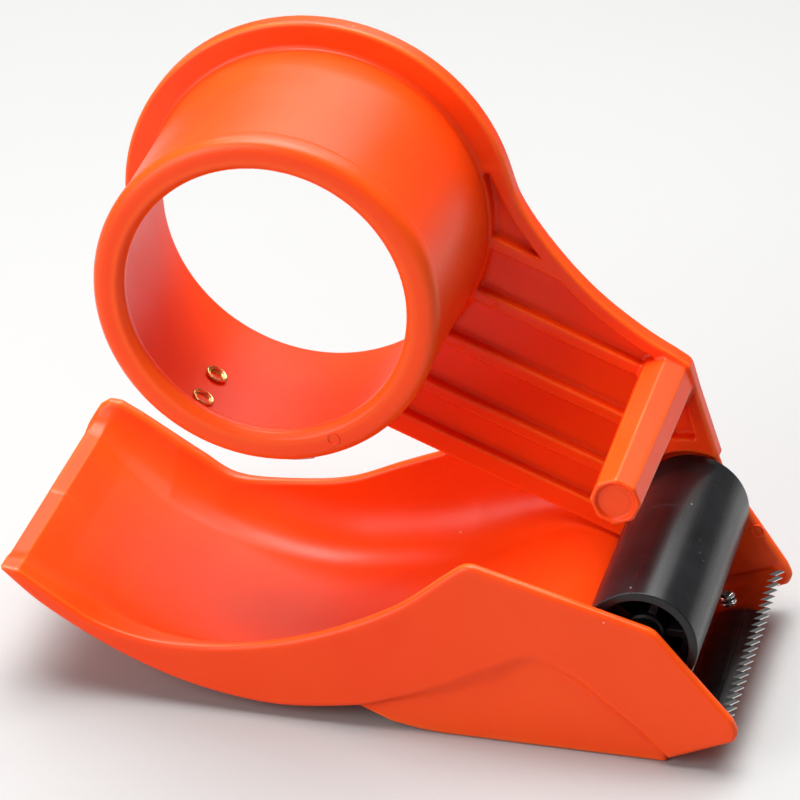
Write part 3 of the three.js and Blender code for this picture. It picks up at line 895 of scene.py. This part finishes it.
trough = moulded("trough_body", trough_field, TROUGH_LOW, TROUGH_HIGH)
arm = moulded("hub_arm_body", arm_field, ARM_LOW, ARM_HIGH)
marks = [
    mark_ring("gate_mark", hub_point(math.radians(-63.4), 33.6, HUB_FRONT), 1.5),
    mark_ring("ejector_mark", (72.5, INNER_FACE, 20.5), 1.6)]

orange = orange_plastic()
black = black_tube()
dark = dark_plastic()
plated = metal("plated_steel", (0.9, 0.9, 0.88, 1), (0.68, 0.68, 0.66, 1), (0.1, 0.2))
polished = metal(
    "polished_blade", (0.88, 0.88, 0.87, 1), (0.68, 0.68, 0.67, 1), (0.06, 0.12),
    grain=(1, 0.02, 1), grain_scale=1600, wear=0.12)
tempered = metal(
    "tempered_spring", (0.42, 0.43, 0.46, 1), (0.25, 0.26, 0.3, 1), (0.29, 0.4),
    grain=(1, 0.03, 1))
bright_brass = metal("bright_brass", (0.83, 0.58, 0.24, 1), (0.55, 0.34, 0.12, 1), (0.16, 0.3))


def finish_piece(piece, body, nodes, look):
    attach(piece, body)
    if nodes:
        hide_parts(*nodes)
    piece.data.materials.append(look)


finish_piece(trough, "body", ["trough"], orange)
finish_piece(arm, "body", ["hub_and_arm"], orange)
for mark in marks:
    finish_piece(mark, "body", [], orange)
finish_piece(roller_tube(), "roller", ["roller_sleeve"], black)
for side, name in ((-1, "near"), (1, "far")):
    finish_piece(roller_plug(name, side), "roller", [f"roller_plug_{name}"], dark)
    screw = blade_screw(f"pan_screw_{name}", side * BLADE_SCREW_Y)
    finish_piece(screw, "body", [f"blade_screw_{name}"], plated)
finish_piece(roller_axle(), "body", ["roller_axle"], plated)
finish_piece(blade_strip(), "body", ["cutting_blade"], polished)
for name, place in zip(("post", "front", "rear"), JOINT_SCREWS):
    screw = joint_screw(f"back_screw_{name}", place)
    finish_piece(screw, "body", [f"joint_screw_{name}"], plated)
finish_piece(core_spring(), "spring", ["core_spring"], tempered)
for name, side in (("front", -0.5), ("rear", 0.5)):
    rivet = eyelet(f"brass_eyelet_{name}", SPRING_MIDDLE + side * EYELET_SPACING)
    finish_piece(rivet, "body", [f"eyelet_{name}"], bright_brass)


# ---- Camera, light and floor ----

def add_camera():
    aim = Vector((-0.00075, 0, 0.0612))
    azimuth, elevation, distance = math.radians(13.53), math.radians(27.96), 1.0775
    back = Vector((
        math.sin(azimuth) * math.cos(elevation),
        -math.cos(azimuth) * math.cos(elevation),
        math.sin(elevation)))
    data = bpy.data.cameras.new("camera")
    data.lens = 225.95
    data.sensor_width = 36
    data.clip_start = 0.02
    camera = bpy.data.objects.new("camera", data)
    camera.location = aim + back * distance
    camera.rotation_euler = back.to_track_quat("Z", "Y").to_euler()
    bpy.context.scene.collection.objects.link(camera)
    bpy.context.scene.camera = camera


def add_area_light(name, place, aim, size, power):
    data = bpy.data.lights.new(name, "AREA")
    data.shape = "RECTANGLE"
    data.size, data.size_y = size
    data.energy = power
    light = bpy.data.objects.new(name, data)
    light.location = place
    light.rotation_euler = (Vector(place) - Vector(aim)).to_track_quat("Z", "Y").to_euler()
    bpy.context.scene.collection.objects.link(light)


def add_world():
    world = bpy.data.worlds.new("studio")
    world.use_nodes = True
    background = world.node_tree.nodes["Background"]
    background.inputs["Color"].default_value = (1, 1, 1, 1)
    background.inputs["Strength"].default_value = 0.15
    bpy.context.scene.world = world


def add_floor():
    half = 3000
    corners = [(-half, -half, 0), (half, -half, 0), (half, half, 0), (-half, half, 0)]
    floor = add_mesh("studio_floor", corners, [(0, 1, 2, 3)], smooth=False)
    look, tree, shader = material("studio_floor")
    tone = noise(tree, 3, 3)
    colour = blend_colours(tree, tone, (0.38, 0.38, 0.377, 1), (0.42, 0.42, 0.416, 1))
    link(tree, colour, shader, "Base Color")
    shader.inputs["Roughness"].default_value = 0.6
    floor.data.materials.append(look)


bpy.context.scene.view_settings.view_transform = "Standard"
add_camera()
add_world()
add_floor()
centre = (0, 0, 0.06)
add_area_light("overhead", (-0.12, 0.1, 0.95), centre, (0.8, 0.6), 17)
add_area_light("back_key", (-0.1, 0.62, 0.75), centre, (0.9, 0.5), 5)
add_area_light("front_fill", (-0.7, -0.8, 0.5), centre, (0.8, 0.8), 9)
